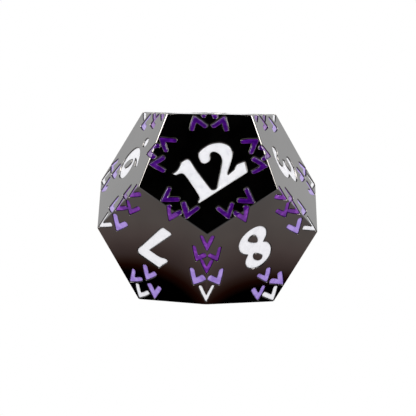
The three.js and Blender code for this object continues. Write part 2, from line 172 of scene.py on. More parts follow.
def face_normal(azimuth, ring):
    if abs(ring) == 2:
        return Vector((0, 0, math.copysign(1, ring)))
    turn = math.radians(azimuth)
    return Vector((RING_RADIUS * math.cos(turn), RING_RADIUS * math.sin(turn), RING_HEIGHT * ring))


def flattened(direction, normal):
    """The direction along a plane with this normal."""
    return (direction - normal * direction.dot(normal)).normalized()


def frame_at(origin, up, normal):
    """A frame with +Z along the normal and +Y up."""
    right = up.cross(normal)
    turned = Matrix((right, up, normal)).transposed().to_4x4()
    return Matrix.Translation(origin) @ turned


NORMALS = {number: face_normal(azimuth, ring) for number, azimuth, ring, _ in FACES}
POLE_OF = {number: pole for number, _, _, pole in FACES}
RINGS = {pole: [f[0] for f in FACES if f[3] == pole and f[0] != pole] for pole in (12, 1)}


def face_up(number):
    """The way up for a face's numeral: away from its pole, and towards a corner on the pole."""
    normal, pole = NORMALS[number], POLE_OF[number]
    if number != pole:
        return -flattened(NORMALS[pole], normal)
    return Matrix.Rotation(POLE_TURN, 3, normal) @ flattened(NORMALS[RINGS[pole][0]], normal)


def face_frame(number, up=None):
    normal = NORMALS[number]
    return frame_at(normal * FACE_DISTANCE * EDGE, up or face_up(number), normal)


def edge_frame(one, other, away):
    normal = (NORMALS[one] + NORMALS[other]).normalized()
    return frame_at(normal * EDGE_DISTANCE * EDGE, flattened(away, normal), normal)


# ---- Flat outlines ----

def smooth(points):
    """A smooth open curve through the points."""
    ends = [points[0]] + list(points) + [points[-1]]
    curve = []
    for k in range(1, len(ends) - 2):
        a, b, c, d = (Vector(p) for p in ends[k - 1:k + 3])
        for step in range(SPLINE_STEPS):
            t = step / SPLINE_STEPS
            v0, v1 = (c - a) / 2, (d - b) / 2
            curve.append((2 * (b - c) + v0 + v1) * t ** 3 + (3 * (c - b) - 2 * v0 - v1) * t ** 2
                         + v0 * t + b)
    return curve + [Vector(points[-1])]


def outline(runs):
    """A closed loop, straight from run to run and smooth along each run, with its corners."""
    loop, corners = [], set()
    for run in runs:
        corners.add(len(loop))
        loop += smooth(run) if len(run) > 2 else [Vector(p) for p in run]
        corners.add(len(loop) - 1)
    return loop, corners


def oval(centre, radii, tilt=0.0):
    loop = []
    for k in range(OVAL_POINTS):
        turn = 2 * math.pi * k / OVAL_POINTS
        x, y = radii[0] * math.cos(turn), radii[1] * math.sin(turn)
        loop.append(Vector((centre[0] + x * math.cos(tilt) - y * math.sin(tilt),
                            centre[1] + x * math.sin(tilt) + y * math.cos(tilt))))
    return loop, set()


def area(loop):
    return sum(a.x * b.y - b.x * a.y for a, b in zip(loop, loop[1:] + loop[:1])) / 2


def rounded(loop, corners, cut):
    """Rounds the outward corners of an anticlockwise loop, each by at most `cut`."""
    result = []
    count = len(loop)
    for k, point in enumerate(loop):
        before, after = loop[k - 1] - point, loop[(k + 1) % count] - point
        outward = before.x * after.y - before.y * after.x < 0
        if k not in corners or not outward:
            result.append(point)
            continue
        start = point + before.normalized() * min(cut, CORNER_SHARE * before.length)
        end = point + after.normalized() * min(cut, CORNER_SHARE * after.length)
        for step in range(CORNER_ARC + 1):
            t = step / CORNER_ARC
            result.append(start * (1 - t) ** 2 + point * 2 * t * (1 - t) + end * t ** 2)
    return result


def thinned(loop, least):
    """Drops points closer than `least` to the one before."""
    kept = []
    for point in loop:
        if not kept or (point - kept[-1]).length > least:
            kept.append(point)
    while len(kept) > 3 and (kept[0] - kept[-1]).length <= least:
        kept.pop()
    return kept


def gap_to(point, loops):
    """Distance from a point to the nearest side of any of the loops."""
    nearest = math.inf
    for loop in loops:
        previous = loop[-1]
        for current in loop:
            side = current - previous
            along = (point - previous).dot(side) / max(side.length_squared, SIDE_FLOOR)
            t = max(0.0, min(1.0, along))
            nearest = min(nearest, (previous + side * t - point).length_squared)
            previous = current
    return math.sqrt(nearest)


def crossing(a, b, c, d):
    """Where side a-b crosses side c-d, or None."""
    one, two, between = b - a, d - c, c - a
    turn = one.x * two.y - one.y * two.x
    if abs(turn) < PARALLEL:
        return None
    along = (between.x * two.y - between.y * two.x) / turn
    across = (between.x * one.y - between.y * one.x) / turn
    return a + one * along if 0 <= along <= 1 and 0 <= across <= 1 else None


def uncross(loop):
    """Ties each small fold of a loop into the point where its sides cross."""
    count = len(loop)
    for k in range(count):
        for ahead in range(min(FOLD_REACH, count // 3), 1, -1):
            a, b = loop[k], loop[(k + 1) % count]
            c, d = loop[(k + ahead) % count], loop[(k + ahead + 1) % count]
            if min((b - a).length_squared, (d - c).length_squared) < TINY_SQUARED:
                continue
            spot = crossing(a, b, c, d)
            if spot is not None and (spot - b).length_squared > TINY_SQUARED:
                for fold in range(k + 1, k + ahead + 1):
                    loop[fold % count] = spot.copy()
                break


def grown(loop, distance):
    """Moves a loop to its right by `distance`, outwards if anticlockwise. Points that would
    fold over in a tight hollow are gathered where the moved sides meet."""
    count = len(loop)
    moved = []
    for k, point in enumerate(loop):
        side_a = (point - loop[k - 1]).normalized()
        side_b = (loop[(k + 1) % count] - point).normalized()
        normal_a, normal_b = Vector((side_a.y, -side_a.x)), Vector((side_b.y, -side_b.x))
        mitre = normal_a + normal_b
        mitre = mitre.normalized() if mitre.length > TINY else normal_a
        moved.append(point + mitre * distance / max(mitre.dot(normal_a), MITRE_LIMIT))
    if not distance:
        return moved
    uncross(moved)
    good = [gap_to(point, [loop]) > abs(distance) * FOLD_SHARE for point in moved]
    if not any(good) or all(good):
        return moved
    first = good.index(True)
    k = first
    while k < first + count:
        if good[k % count]:
            k += 1
            continue
        start = k
        while not good[k % count]:
            k += 1
        for fold in range(start, k):
            moved[fold % count] = moved[(start - 1) % count]
    uncross(moved)
    return moved


def inside(point, loops):
    """Whether the point is inside the first loop and outside its holes."""
    odd = False
    for loop in loops:
        previous = loop[-1]
        for current in loop:
            if (current.y > point.y) != (previous.y > point.y):
                share = (point.y - current.y) / (previous.y - current.y)
                if point.x < current.x + share * (previous.x - current.x):
                    odd = not odd
            previous = current
    return odd


def filling(loops):
    """Points on a staggered grid inside the loops."""
    xs, ys = [p.x for p in loops[0]], [p.y for p in loops[0]]
    points = []
    for row in range(int((max(ys) - min(ys)) / GRID) + 1):
        shift = GRID / 2 if row % 2 else 0.0
        y = min(ys) + (row + 0.5) * GRID * GRID_ROW
        for column in range(int((max(xs) - min(xs)) / GRID) + 1):
            point = Vector((min(xs) + shift + column * GRID, y))
            if inside(point, loops) and gap_to(point, loops) > GRID_MARGIN:
                points.append(point)
    return points


# ---- Solids from outlines ----

def ridge_drop(x):
    """How far the rounded ridge of an edge falls away from the sharp edge at distance x."""
    if abs(x) > ROUND_RADIUS * math.sin(EDGE_SLOPE):
        return -abs(x) * math.tan(EDGE_SLOPE)
    return math.sqrt(ROUND_RADIUS ** 2 - x ** 2) - ROUND_RADIUS / math.cos(EDGE_SLOPE)


def cap(part, loops, verts, height, upwards, extra):
    """Fills the loops at one level. Points gathered by `grown` share one vertex in the fill."""
    flat, corners, places, constraints = [], [], {}, []
    for loop, own in zip(loops, verts):
        ids = []
        for point, vert in zip(loop, own):
            key = (round(point.x * PLACES), round(point.y * PLACES))
            if key not in places:
                places[key] = len(flat)
                flat.append(point)
                corners.append(vert)
            ids.append(places[key])
        constraints += [(a, b) for a, b in zip(ids, ids[1:] + ids[:1]) if a != b]
    filled = delaunay_2d_cdt(flat + extra, constraints, [], FILL_INSIDE, FILL_TOLERANCE)
    points, triangles = filled[0], filled[2]
    corners += [part.verts.new((p.x, p.y, height)) for p in points[len(corners):]]
    for a, b, c in triangles:
        middle = (points[a] + points[b] + points[c]) / 3
        if len(loops) == 1 or inside(middle, loops):
            ordered = (a, b, c) if upwards else (c, b, a)
            part.faces.new([corners[k] for k in ordered])


def add_solid(loops, levels, place, ridge=None, ripple=0.0):
    """A closed solid through the levels (outward growth, height), its top filled with a grid.
    `ridge` is 'x' or 'y', the way an edge of the die runs under it."""
    part = bmesh.new()
    shapes = [[grown(loop, growth) for loop in loops] for growth, _ in levels]
    rings = [[[part.verts.new((p.x, p.y, height)) for p in loop] for loop in shape]
             for shape, (_, height) in zip(shapes, levels)]
    for below, above in zip(rings, rings[1:]):
        for low, high in zip(below, above):
            for k in range(len(low)):
                nxt = (k + 1) % len(low)
                part.faces.new((low[k], low[nxt], high[nxt], high[k]))
    cap(part, shapes[0], rings[0], levels[0][1], False, [])
    cap(part, shapes[-1], rings[-1], levels[-1][1], True, filling(shapes[-1]) if ripple else [])
    bmesh.ops.remove_doubles(part, verts=part.verts[:], dist=WELD)
    if ridge:
        bmesh.ops.triangulate(part, faces=part.faces[:])
        reach = ROUND_RADIUS * math.sin(EDGE_SLOPE)
        axis = Vector((1, 0, 0)) if ridge == "y" else Vector((0, 1, 0))
        for share in RIDGE_CUTS:
            everything = part.verts[:] + part.edges[:] + part.faces[:]
            bmesh.ops.bisect_plane(part, geom=everything, plane_co=axis * reach * share,
                                   plane_no=axis, dist=TOUCH)
        bmesh.ops.remove_doubles(part, verts=part.verts[:], dist=WELD)
        bmesh.ops.triangulate(part, faces=part.faces[:])
        for vert in part.verts:
            vert.co.z += ridge_drop(vert.co.dot(axis))
    if ripple:
        top = max(height for _, height in levels)
        for vert in part.verts:
            if ridge or abs(vert.co.z - top) < TOUCH:
                spot = (place @ vert.co) * RIPPLE_SCALE
                fine = FINE_RIPPLE[0] * noise.noise(spot * FINE_RIPPLE[1])
                vert.co.z += ripple * (noise.noise(spot) + fine)
    bmesh.ops.transform(part, matrix=place, verts=part.verts[:])
    bmesh.ops.recalc_face_normals(part, faces=part.faces[:])
    solid = bpy.data.meshes.new("solid")
    part.to_mesh(solid)
    part.free()
    return solid


def join_into(bm, solid):
    bm.from_mesh(solid)
    bpy.data.meshes.remove(solid)


def pocket_levels():
    """From the pocket's floor up its wall, out round the rolled rim and on above the face."""
    levels = [(0.0, -POCKET_DEPTH)]
    top = RIM_RADIUS * math.sin(RIM_TURN)
    for step in range(RIM_STEPS + 1):
        turn = RIM_TURN * step / RIM_STEPS
        levels.append((RIM_RADIUS * (1 - math.cos(turn)), RIM_RADIUS * math.sin(turn) - top))
    flare = levels[-1][0] + RIM_RISE * math.tan(RIM_TURN)
    return levels + [(flare, RIM_RISE), (flare, OVERSHOOT)]


def enamel_levels():
    levels = [(-ENAMEL_GAP, -POCKET_DEPTH + ENAMEL_GAP)]
    for inset, height in ENAMEL_CROWN:
        levels.append((-ENAMEL_GAP - inset, ENAMEL_LEVEL + height))
    return levels


POCKET_LEVELS = pocket_levels()
ENAMEL_LEVELS = enamel_levels()


# ---- Numerals: height 1, baseline 0 ----

def glyph_one(foot=0.33):
    return [outline([
        [(-0.15, 0), (-0.15, 0.03), (-0.05, 0.11), (-0.035, 0.3)],
        [(-0.03, 0.6), (-0.035, 0.73), (-0.09, 0.8), (-0.2, 0.815)],
        [(-0.245, 0.875), (-0.12, 0.885), (-0.02, 0.935), (0.06, 0.995)],
        [(0.15, 1.0), (0.215, 0.985), (0.235, 0.93)],
        [(0.225, 0.7), (0.225, 0.16), (0.25, 0.09), (0.31, 0.06)],
        [(foot, 0.06)],
        [(foot, 0)],
    ])]


def glyph_two():
    return [outline([
        [(-0.36, 0), (-0.36, 0.06), (-0.28, 0.14)],
        [(-0.06, 0.36), (0.06, 0.51), (0.105, 0.64), (0.095, 0.74), (0.04, 0.81), (-0.03, 0.82),
         (-0.085, 0.785), (-0.12, 0.715), (-0.19, 0.675), (-0.28, 0.685), (-0.325, 0.745),
         (-0.315, 0.84), (-0.275, 0.935), (-0.2, 0.978), (-0.075, 1.0), (0.09, 0.985),
         (0.255, 0.91), (0.345, 0.8), (0.375, 0.69), (0.335, 0.54), (0.235, 0.43),
         (-0.005, 0.24), (-0.035, 0.18)],
        [(0.16, 0.207), (0.225, 0.255), (0.29, 0.272), (0.435, 0.24)],
        [(0.345, 0)],
    ])]


def glyph_twelve():
    """The 1 and the 2 share one foot along the baseline."""
    return [outline([
        [(-0.633, 0), (-0.63, 0.035), (-0.55, 0.1), (-0.523, 0.3)],
        [(-0.505, 0.6), (-0.51, 0.73), (-0.56, 0.79), (-0.665, 0.815)],
        [(-0.715, 0.88), (-0.59, 0.885), (-0.48, 0.935), (-0.4, 0.992)],
        [(-0.31, 0.995), (-0.25, 0.98), (-0.225, 0.925)],
        [(-0.245, 0.7), (-0.25, 0.17), (-0.22, 0.085), (-0.165, 0.06), (-0.11, 0.075),
         (-0.05, 0.13)],
        [(0.22, 0.394), (0.33, 0.514), (0.378, 0.633), (0.365, 0.73), (0.31, 0.805),
         (0.245, 0.82), (0.19, 0.785), (0.155, 0.715), (0.09, 0.677), (0.0, 0.684),
         (-0.046, 0.743), (-0.037, 0.838), (0.005, 0.935), (0.075, 0.978), (0.2, 1.0),
         (0.367, 0.985), (0.532, 0.908), (0.624, 0.798), (0.657, 0.688), (0.615, 0.541),
         (0.514, 0.431), (0.275, 0.239), (0.243, 0.18)],
        [(0.44, 0.207), (0.505, 0.255), (0.57, 0.272), (0.716, 0.24)],
        [(0.624, 0)],
    ])]


def glyph_three():
    return [outline([
        [(-0.2, 0.735), (-0.27, 0.765), (-0.29, 0.845), (-0.24, 0.93), (-0.12, 0.99), (0, 1.0),
         (0.17, 0.955), (0.273, 0.845), (0.28, 0.74), (0.239, 0.645), (0.175, 0.565)],
        [(0.273, 0.485), (0.325, 0.35), (0.3, 0.19), (0.188, 0.06), (0, 0), (-0.205, 0.017),
         (-0.308, 0.08), (-0.316, 0.18), (-0.256, 0.24), (-0.175, 0.214), (-0.09, 0.15),
         (0.015, 0.145), (0.085, 0.235), (0.065, 0.35), (-0.02, 0.41), (-0.12, 0.44)],
        [(-0.11, 0.54), (0.005, 0.59), (0.068, 0.675), (0.055, 0.77), (-0.03, 0.82),
         (-0.12, 0.79)],
    ])]


def glyph_four():
    return [
        outline([
            [(0.02, 0)], [(0.26, 0)], [(0.25, 0.21)], [(0.38, 0.22)], [(0.375, 0.37)],
            [(0.25, 0.38)], [(0.25, 1.0)], [(0.1, 1.0)],
            [(-0.1, 0.78), (-0.3, 0.48), (-0.38, 0.36)],
            [(-0.38, 0.22)], [(0.03, 0.21)],
        ]),
        outline([[(0.03, 0.37)], [(0.02, 0.72)], [(-0.1, 0.56)], [(-0.22, 0.38)]]),
    ]


def glyph_five():
    return [outline([
        [(-0.2, 1.0)], [(0.29, 1.0)],
        [(0.25, 0.83)], [(-0.07, 0.82)],
        [(-0.09, 0.65), (0.03, 0.665), (0.2, 0.6), (0.31, 0.46), (0.325, 0.32), (0.27, 0.15),
         (0.14, 0.03), (-0.03, 0), (-0.22, 0.02), (-0.31, 0.09), (-0.31, 0.18), (-0.25, 0.235),
         (-0.17, 0.21), (-0.09, 0.15), (0.01, 0.15), (0.08, 0.24), (0.075, 0.37), (0, 0.46),
         (-0.11, 0.475), (-0.24, 0.43)],
    ])]


def glyph_seven():
    return [outline([
        [(-0.15, 0.04)], [(-0.13, 0)], [(0.06, 0)],
        [(0.11, 0.08)],
        [(0.355, 0.79), (0.395, 0.89), (0.39, 0.96), (0.345, 1.0)],
        [(-0.17, 1.0)],
        [(-0.21, 0.885), (-0.285, 0.73), (-0.235, 0.69), (-0.13, 0.735), (-0.04, 0.75)],
        [(0.175, 0.75)],
    ])]


def glyph_eight():
    return [
        outline([
            [(0.18, 0.556), (0.265, 0.65), (0.3, 0.75), (0.27, 0.87), (0.16, 0.965),
             (-0.02, 1.0), (-0.21, 0.93), (-0.305, 0.8), (-0.325, 0.67), (-0.285, 0.55),
             (-0.205, 0.475)],
            [(-0.32, 0.36), (-0.35, 0.23), (-0.3, 0.1), (-0.18, 0.018), (0, 0), (0.18, 0.055),
             (0.295, 0.175), (0.325, 0.335), (0.27, 0.475)],
        ]),
        outline([[(-0.106, 0.803), (-0.05, 0.862), (0.034, 0.846), (0.1, 0.752), (0.094, 0.65),
                  (0.043, 0.62), (-0.034, 0.684), (-0.1, 0.78)]]),
        outline([[(-0.11, 0.365), (-0.065, 0.393), (0.045, 0.308), (0.094, 0.222),
                  (0.017, 0.154), (-0.085, 0.179), (-0.12, 0.282), (-0.118, 0.34)]]),
    ]


def glyph_nine(lift=0.0):
    loops = [
        outline([
            [(-0.21, 0.0), (-0.12, 0.03), (0.05, 0.085), (0.21, 0.195), (0.33, 0.345),
             (0.375, 0.52), (0.365, 0.68), (0.31, 0.845), (0.2, 0.955), (0.06, 1.0),
             (-0.08, 0.965), (-0.2, 0.875), (-0.285, 0.73), (-0.305, 0.575), (-0.25, 0.43),
             (-0.13, 0.335), (0.0, 0.315)],
            [(0.1, 0.335), (0.03, 0.24), (-0.06, 0.17), (-0.17, 0.11)],
        ]),
        oval((0.04, 0.645), (0.098, 0.2)),
    ]
    return [([p + Vector((0, lift)) for p in loop], corners) for loop, corners in loops]


def glyph_six():
    return [([Vector((-p.x, 1 - p.y)) for p in loop], corners) for loop, corners in glyph_nine()]


def glyph_zero():
    return [oval((0, 0.5), (0.33, 0.5)), oval((0, 0.5), (0.11, 0.34))]


DOT = [oval((0.36, 0.07), (0.1, 0.125), -0.4)]

# Each numeral is a list of glyphs with their x shifts.
NUMERALS = {
    1: [(glyph_one(), -0.06)], 2: [(glyph_two(), -0.02)], 3: [(glyph_three(), 0)],
    4: [(glyph_four(), 0)], 5: [(glyph_five(), 0)], 6: [(glyph_six(), 0)],
    7: [(glyph_seven(), 0)], 8: [(glyph_eight(), 0)], 9: [(glyph_nine(0.06), 0)],
    10: [(glyph_one(0.4), -0.42), (glyph_zero(), 0.3)],
    11: [(glyph_one(0.36), -0.38), (glyph_one(0.4), 0.28)],
    12: [(glyph_twelve(), 0)],
}


def glyph_loops(glyph, scale, shift, baseline, cut):
    """The glyph's loops in millimetres: the first anticlockwise, and its holes clockwise."""
    loops = []
    for index, (loop, corners) in enumerate(glyph):
        sized = [Vector((p.x * scale + shift, p.y * scale + baseline)) for p in loop]
        if area(sized) < 0:
            corners = {len(sized) - 1 - k for k in corners}
            sized.reverse()
        sized = thinned(rounded(sized, corners, cut), NUMERAL_SPACING)
        loops.append(list(reversed(sized)) if index else sized)
    return loops


# ---- Chevrons ----

# Half opening in degrees, arm length, stroke width; lengths in edges.
POLE = (32, 0.176, 0.060)
ACROSS = (29, 0.172, 0.060)
PURPLE = (28, 0.166, 0.062)
PURPLE_SIDE = (31, 0.170, 0.062)
LILAC = (30, 0.186, 0.075)
CREST = (29, 0.192, 0.060)
FAR = (28.5, 0.178, 0.070)
FAR_SIDE = (26.5, 0.178, 0.070)
FAR_TIP = (32, 0.174, 0.060)

# Each chevron is painted by hand, so no two are quite alike.
SEED = 12
ARM_SPREAD = (0.94, 1.06)
STROKE_SPREAD = (0.9, 1.12)
TIP_SPREAD = (0.8, 1.0)
BOW_SPREAD = (-0.07, 0.07)  # in strokes
APEX_REACH = 1.5  # in half strokes
CHEVRON_ROUND = 0.42  # in strokes
CHEVRON_SPACING = 0.015

# Places in edges, up a face or along an edge. Flank pairs stand either side of the middle.
FLANK_TURN = 19
ACROSS_UP = 0.109
POLE_FLANK = (0.168, 0.636)
PURPLE_ALONG = (0.200, 0.526)
PURPLE_SIDE_PLACE = (0.486, -0.264)
LILAC_PLACE = (0.566, 0.072)
CREST_ALONG = 0.932
FAR_UP = 0.472
FAR_FLANK = (0.171, 0.655)
FAR_TIP_UP = 0.795


def chevron(kind, x, y, turn, squeeze, rng):
    """A hand-filled chevron pointing along +Y: two slightly uneven arms with soft ends."""
    half_opening, arm, stroke = kind
    lean = math.radians(half_opening)
    arms, halves = [], []
    for side in (1, -1):
        length = arm * rng.uniform(*ARM_SPREAD)
        half = stroke / 2 * rng.uniform(*STROKE_SPREAD)
        tip_half = half * rng.uniform(*TIP_SPREAD)
        along = Vector((side * math.sin(lean), -math.cos(lean)))
        across = Vector((side * math.cos(lean), math.sin(lean)))
        tip = along * length
        middle = along * length * 0.5
        bow = across * stroke * rng.uniform(*BOW_SPREAD)
        arms.append([middle + bow + across * (half + tip_half) / 2, tip + across * tip_half,
                     tip - across * tip_half, middle + bow - across * (half + tip_half) / 2])
        halves.append(half)
    half = sum(halves) / 2
    apex = Vector((0, half * APEX_REACH))
    notch = Vector((0, -half / math.sin(lean)))
    loop = [notch] + arms[0][::-1] + [apex] + arms[1]
    corners = {2, 3, 5, 7, 8}  # both ends of each tip, and the apex
    soft = rounded([p * EDGE for p in loop], corners, stroke * EDGE * CHEVRON_ROUND)
    spun = Matrix.Rotation(math.radians(turn), 2)
    placed = [spun @ p + Vector((x, y)) * EDGE for p in soft]
    return [thinned([Vector((p.x * squeeze, p.y)) for p in placed], CHEVRON_SPACING)]


# Each cluster is a list of (paint, kind, frame, x, y, turn, squeeze, ridge).

def flanks(paint, kind, place, spot):
    x, y = spot
    return [(paint, kind, place, -x, y, FLANK_TURN, 1, None),
            (paint, kind, place, x, y, -FLANK_TURN, 1, None)]


def pole_edge(pole, ring):
    away = NORMALS[ring]
    across = edge_frame(pole, ring, away)
    on_face = face_frame(pole, flattened(away, NORMALS[pole]))
    return [("purple", ACROSS, across, 0, ACROSS_UP, 0, 1, "x")] + flanks(
        "purple", POLE, on_face, POLE_FLANK)


def beside(paint, kind, one, other, spot):
    """One on each of two faces, in mirror image across the edge between them."""
    x, y = spot
    spots = []
    for ring, across in ((one, other), (other, one)):
        place = face_frame(ring)
        side = math.copysign(1, place.to_3x3().col[0].dot(NORMALS[across]))
        spots.append((paint, kind, place, x * side, y, 0, 1, None))
    return spots


def on_edge(paint, kind, pole, one, other, along):
    place = edge_frame(one, other, -NORMALS[pole])
    return (paint, kind, place, 0, along - 0.5, 0, ACROSS_EDGE, "y")


def ring_edge_purple(pole, one, other):
    return [on_edge("purple", PURPLE, pole, one, other, along) for along in PURPLE_ALONG] + beside(
        "purple", PURPLE_SIDE, one, other, PURPLE_SIDE_PLACE)


def ring_edge_pale(pole, one, other):
    return beside("lilac", LILAC, one, other, LILAC_PLACE) + [
        on_edge("white", CREST, pole, one, other, CREST_ALONG)]


def far_corner(ring):
    place = face_frame(ring)
    return [("lilac", FAR, place, 0, FAR_UP, 0, 1, None),
            *flanks("lilac", FAR_SIDE, place, FAR_FLANK),
            ("white", FAR_TIP, place, 0, FAR_TIP_UP, 0, 1, None)]


# ---- Materials ----

class Nodes:
    """A short way to build a node tree."""

    def __init__(self, tree):
        self.tree = tree

    def add(self, kind, inputs=None, **settings):
        node = self.tree.nodes.new(kind)
        for key, value in settings.items():
            setattr(node, key, value)
        for key, value in (inputs or {}).items():
            socket = node.inputs[key]
            if isinstance(value, bpy.types.NodeSocket):
                self.tree.links.new(value, socket)
            else:
                socket.default_value = value
        return node

    def spread(self, value, between, levels, easing="LINEAR"):
        """Goes from one level to the other as the value goes between two bounds."""
        low, high = between
        to_low, to_high = levels
        node = self.add("ShaderNodeMapRange", {"Value": value, "From Min": low, "From Max": high,
                                               "To Min": to_low, "To Max": to_high},
                        interpolation_type=easing)
        return node.outputs["Result"]

    def fade(self, value, between, levels):
        return self.spread(value, between, levels, "SMOOTHSTEP")

    def maths(self, operation, *values):
        return self.add("ShaderNodeMath", dict(enumerate(values)), operation=operation).outputs[0]

    def by_ray(self, plain, mirrored, surface):
        """Shows one shader to the camera and to plain light, and the other to mirror rays."""
        path = self.add("ShaderNodeLightPath")
        mix = self.add("ShaderNodeMixShader", {0: path.outputs["Is Glossy Ray"], 1: plain,
                                               2: mirrored})
        self.tree.links.new(mix.outputs[0], surface)


class MaterialNodes(Nodes):
    def __init__(self, name):
        self.material = bpy.data.materials.new(name)
        self.material.use_nodes = True
        super().__init__(self.material.node_tree)
        self.shader = self.tree.nodes["Principled BSDF"]
        self.place = self.tree.nodes.new("ShaderNodeTexCoord").outputs["Object"]

    def noise(self, scale, detail=3.0, roughness=0.5, stretch=(1, 1, 1), turn=(0, 0, 0)):
        mapped = self.add("ShaderNodeMapping", {"Vector": self.place, "Scale": stretch,
                                                "Rotation": turn})
        made = self.add("ShaderNodeTexNoise", {"Vector": mapped.outputs["Vector"],
                                               "Scale": scale, "Detail": detail,
                                               "Roughness": roughness})
        return made.outputs["Fac"]

    def ramp(self, value, stops):
        node = self.add("ShaderNodeValToRGB", {"Fac": value})
        ramp = node.color_ramp
        while len(ramp.elements) < len(stops):
            ramp.elements.new(0.5)
        for element, (where, colour) in zip(ramp.elements, stops):
            element.position = where
            element.color = (*colour, 1.0)
        return node.outputs["Color"]

    def bump(self, height, strength, distance, normal=None):
        inputs = {"Height": height, "Strength": strength, "Distance": distance}
        if normal:
            inputs["Normal"] = normal
        return self.add("ShaderNodeBump", inputs).outputs["Normal"]

    def finish(self, **values):
        """Sets the shader's inputs and returns the material."""
        for key, value in values.items():
            socket = self.shader.inputs[key.replace("_", " ")]
            if isinstance(value, bpy.types.NodeSocket):
                self.tree.links.new(value, socket)
            else:
                socket.default_value = value
        return self.material


NOISE_RANGE = (0.3, 0.7)  # nearly all of a noise texture's values
PAIR_RANGE = (0.7, 1.3)  # most of the sums of two of them
UNIT = (0.0, 1.0)
POLE_FACING = (0.80, 0.93)  # the cosine to the 12's normal over which the pole faces' painted shade comes in
ENAMEL_SPECULAR = 0.3


def plated_metal():
    """Near-black plating with cloudy gloss, faint brushing and a slight orange peel."""
    n = MaterialNodes("dark_plating")
    tone = n.noise(scale=160, detail=2)
    colour = n.ramp(tone, [(0.3, (0.062, 0.060, 0.060)), (0.7, (0.076, 0.073, 0.072))])
    cloud = n.noise(scale=420, detail=4, roughness=0.6)
    rough = n.spread(cloud, NOISE_RANGE, (0.05, 0.1))
    brushed = n.noise(scale=900, roughness=0.6, stretch=(0.15, 1, 1), turn=(0.3, 0.5, 0.9))
    peel = n.bump(n.noise(scale=1500, detail=2), strength=0.05, distance=0.00002)
    scratched = n.bump(brushed, strength=0.03, distance=0.00002, normal=peel)
    return n.finish(Base_Color=colour, Metallic=1.0, Roughness=rough, Normal=scratched)


def enamel(name, stops, streaks, rough, spread, pole_shade_colour=None):
    """Brushed-in enamel, patchy and streaked; on the purple the palest streaks are also a painted
    highlight. A painted shade darkens it on the pole faces.
    """
    n = MaterialNodes(name)
    patches = n.noise(scale=1500, roughness=0.55)
    # The streaks stand for brushed enamel; on the purple their palest peaks are also a painted
    # highlight.
    streaks_and_sheen = n.noise(scale=1100, detail=4, roughness=0.6, stretch=(1, streaks, 1),
                       turn=(0.5, 0.2, 0.7))
    colour = n.ramp(n.spread(n.maths("ADD", patches, streaks_and_sheen), PAIR_RANGE, UNIT), stops)
    # A painted shade: the colour is darkened on the faces that point along the 12's axis, the two
    # pole faces.
    if pole_shade_colour:
        normal = n.add("ShaderNodeNewGeometry").outputs["Normal"]
        facing = n.add("ShaderNodeVectorMath", {0: normal, 1: NORMALS[12]},
                       operation="DOT_PRODUCT")
        turned = n.maths("ABSOLUTE", facing.outputs["Value"])
        on_pole = n.spread(turned, POLE_FACING, UNIT)
        painted_shade = n.add("ShaderNodeMix", {"Factor": on_pole, 6: colour, 7: (*pole_shade_colour, 1)},
                     data_type="RGBA", blend_type="MULTIPLY")
        colour = painted_shade.outputs[2]
    roughness = n.spread(patches, NOISE_RANGE, (rough - spread, rough + spread))
    lumps = n.bump(n.noise(scale=2600), strength=0.25, distance=0.00003)
    return n.finish(Base_Color=colour, Roughness=roughness, Normal=lumps,
                    Specular_IOR_Level=ENAMEL_SPECULAR)


METAL = plated_metal()
PAINTS = {
    "white": enamel(
        "white_enamel",
        [(0.0, (0.79, 0.79, 0.84)), (0.45, (0.85, 0.85, 0.89)), (1.0, (0.88, 0.88, 0.92))],
        streaks=2.5, rough=0.3, spread=0.08),
    "lilac": enamel(
        "lilac_enamel",
        [(0.0, (0.27, 0.165, 0.56)), (0.5, (0.37, 0.25, 0.68)), (1.0, (0.46, 0.34, 0.78))],
        streaks=3, rough=0.22, spread=0.06),
    # The palest purple also serves as a painted highlight in the streaks.
    "purple": enamel(
        "purple_enamel",
        [(0.0, (0.068, 0.003, 0.175)), (0.5, (0.130, 0.008, 0.28)), (1.0, (0.29, 0.055, 0.51))],
        # The pole colour is a painted shade for the two pole faces.
        streaks=4, rough=0.10, spread=0.035, pole_shade_colour=(0.34, 0.09, 0.52)),
}


# ---- Pieces ----

ENAMEL_SHARP, METAL_SHARP = 50, 20  # degrees between faces that count as a sharp edge
PALE_BATCH = 4  # the first after those of a ring edge's purple chevrons, which the pale ones touch


def finish_piece(name, bm, paint, node, sharp_angle):
    """Turns a mesh in millimetres into a piece of the die that stands for one CAD node."""
    bmesh.ops.scale(bm, vec=(MM, MM, MM), verts=bm.verts[:])
    mesh = bpy.data.meshes.new(name)
    bm.to_mesh(mesh)
    bm.free()
    piece = bpy.data.objects.new(name, mesh)
    bpy.context.scene.collection.objects.link(piece)
    mesh.materials.append(paint)
    mesh.shade_smooth()
    mesh.set_sharp_from_angle(angle=math.radians(sharp_angle))
    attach(piece, "root")
    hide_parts(node)
    return mesh


cutters = {}  # by batch: pockets that never overlap are cut together


def inlay(name, paint, entries, node, batches=None):
    """Makes the cutters of the pockets and the enamel in them. Each entry is its loops, its
    frame and its ridge."""
    fill = bmesh.new()
    for index, (loops, place, ridge) in enumerate(entries):
        batch = batches[index] if batches else name
        tool = cutters.setdefault(batch, bmesh.new())
        join_into(tool, add_solid(loops, POCKET_LEVELS, place, ridge))
        join_into(fill, add_solid(loops, ENAMEL_LEVELS, place, ridge, RIPPLE))
    finish_piece(name, fill, PAINTS[paint], node, ENAMEL_SHARP)


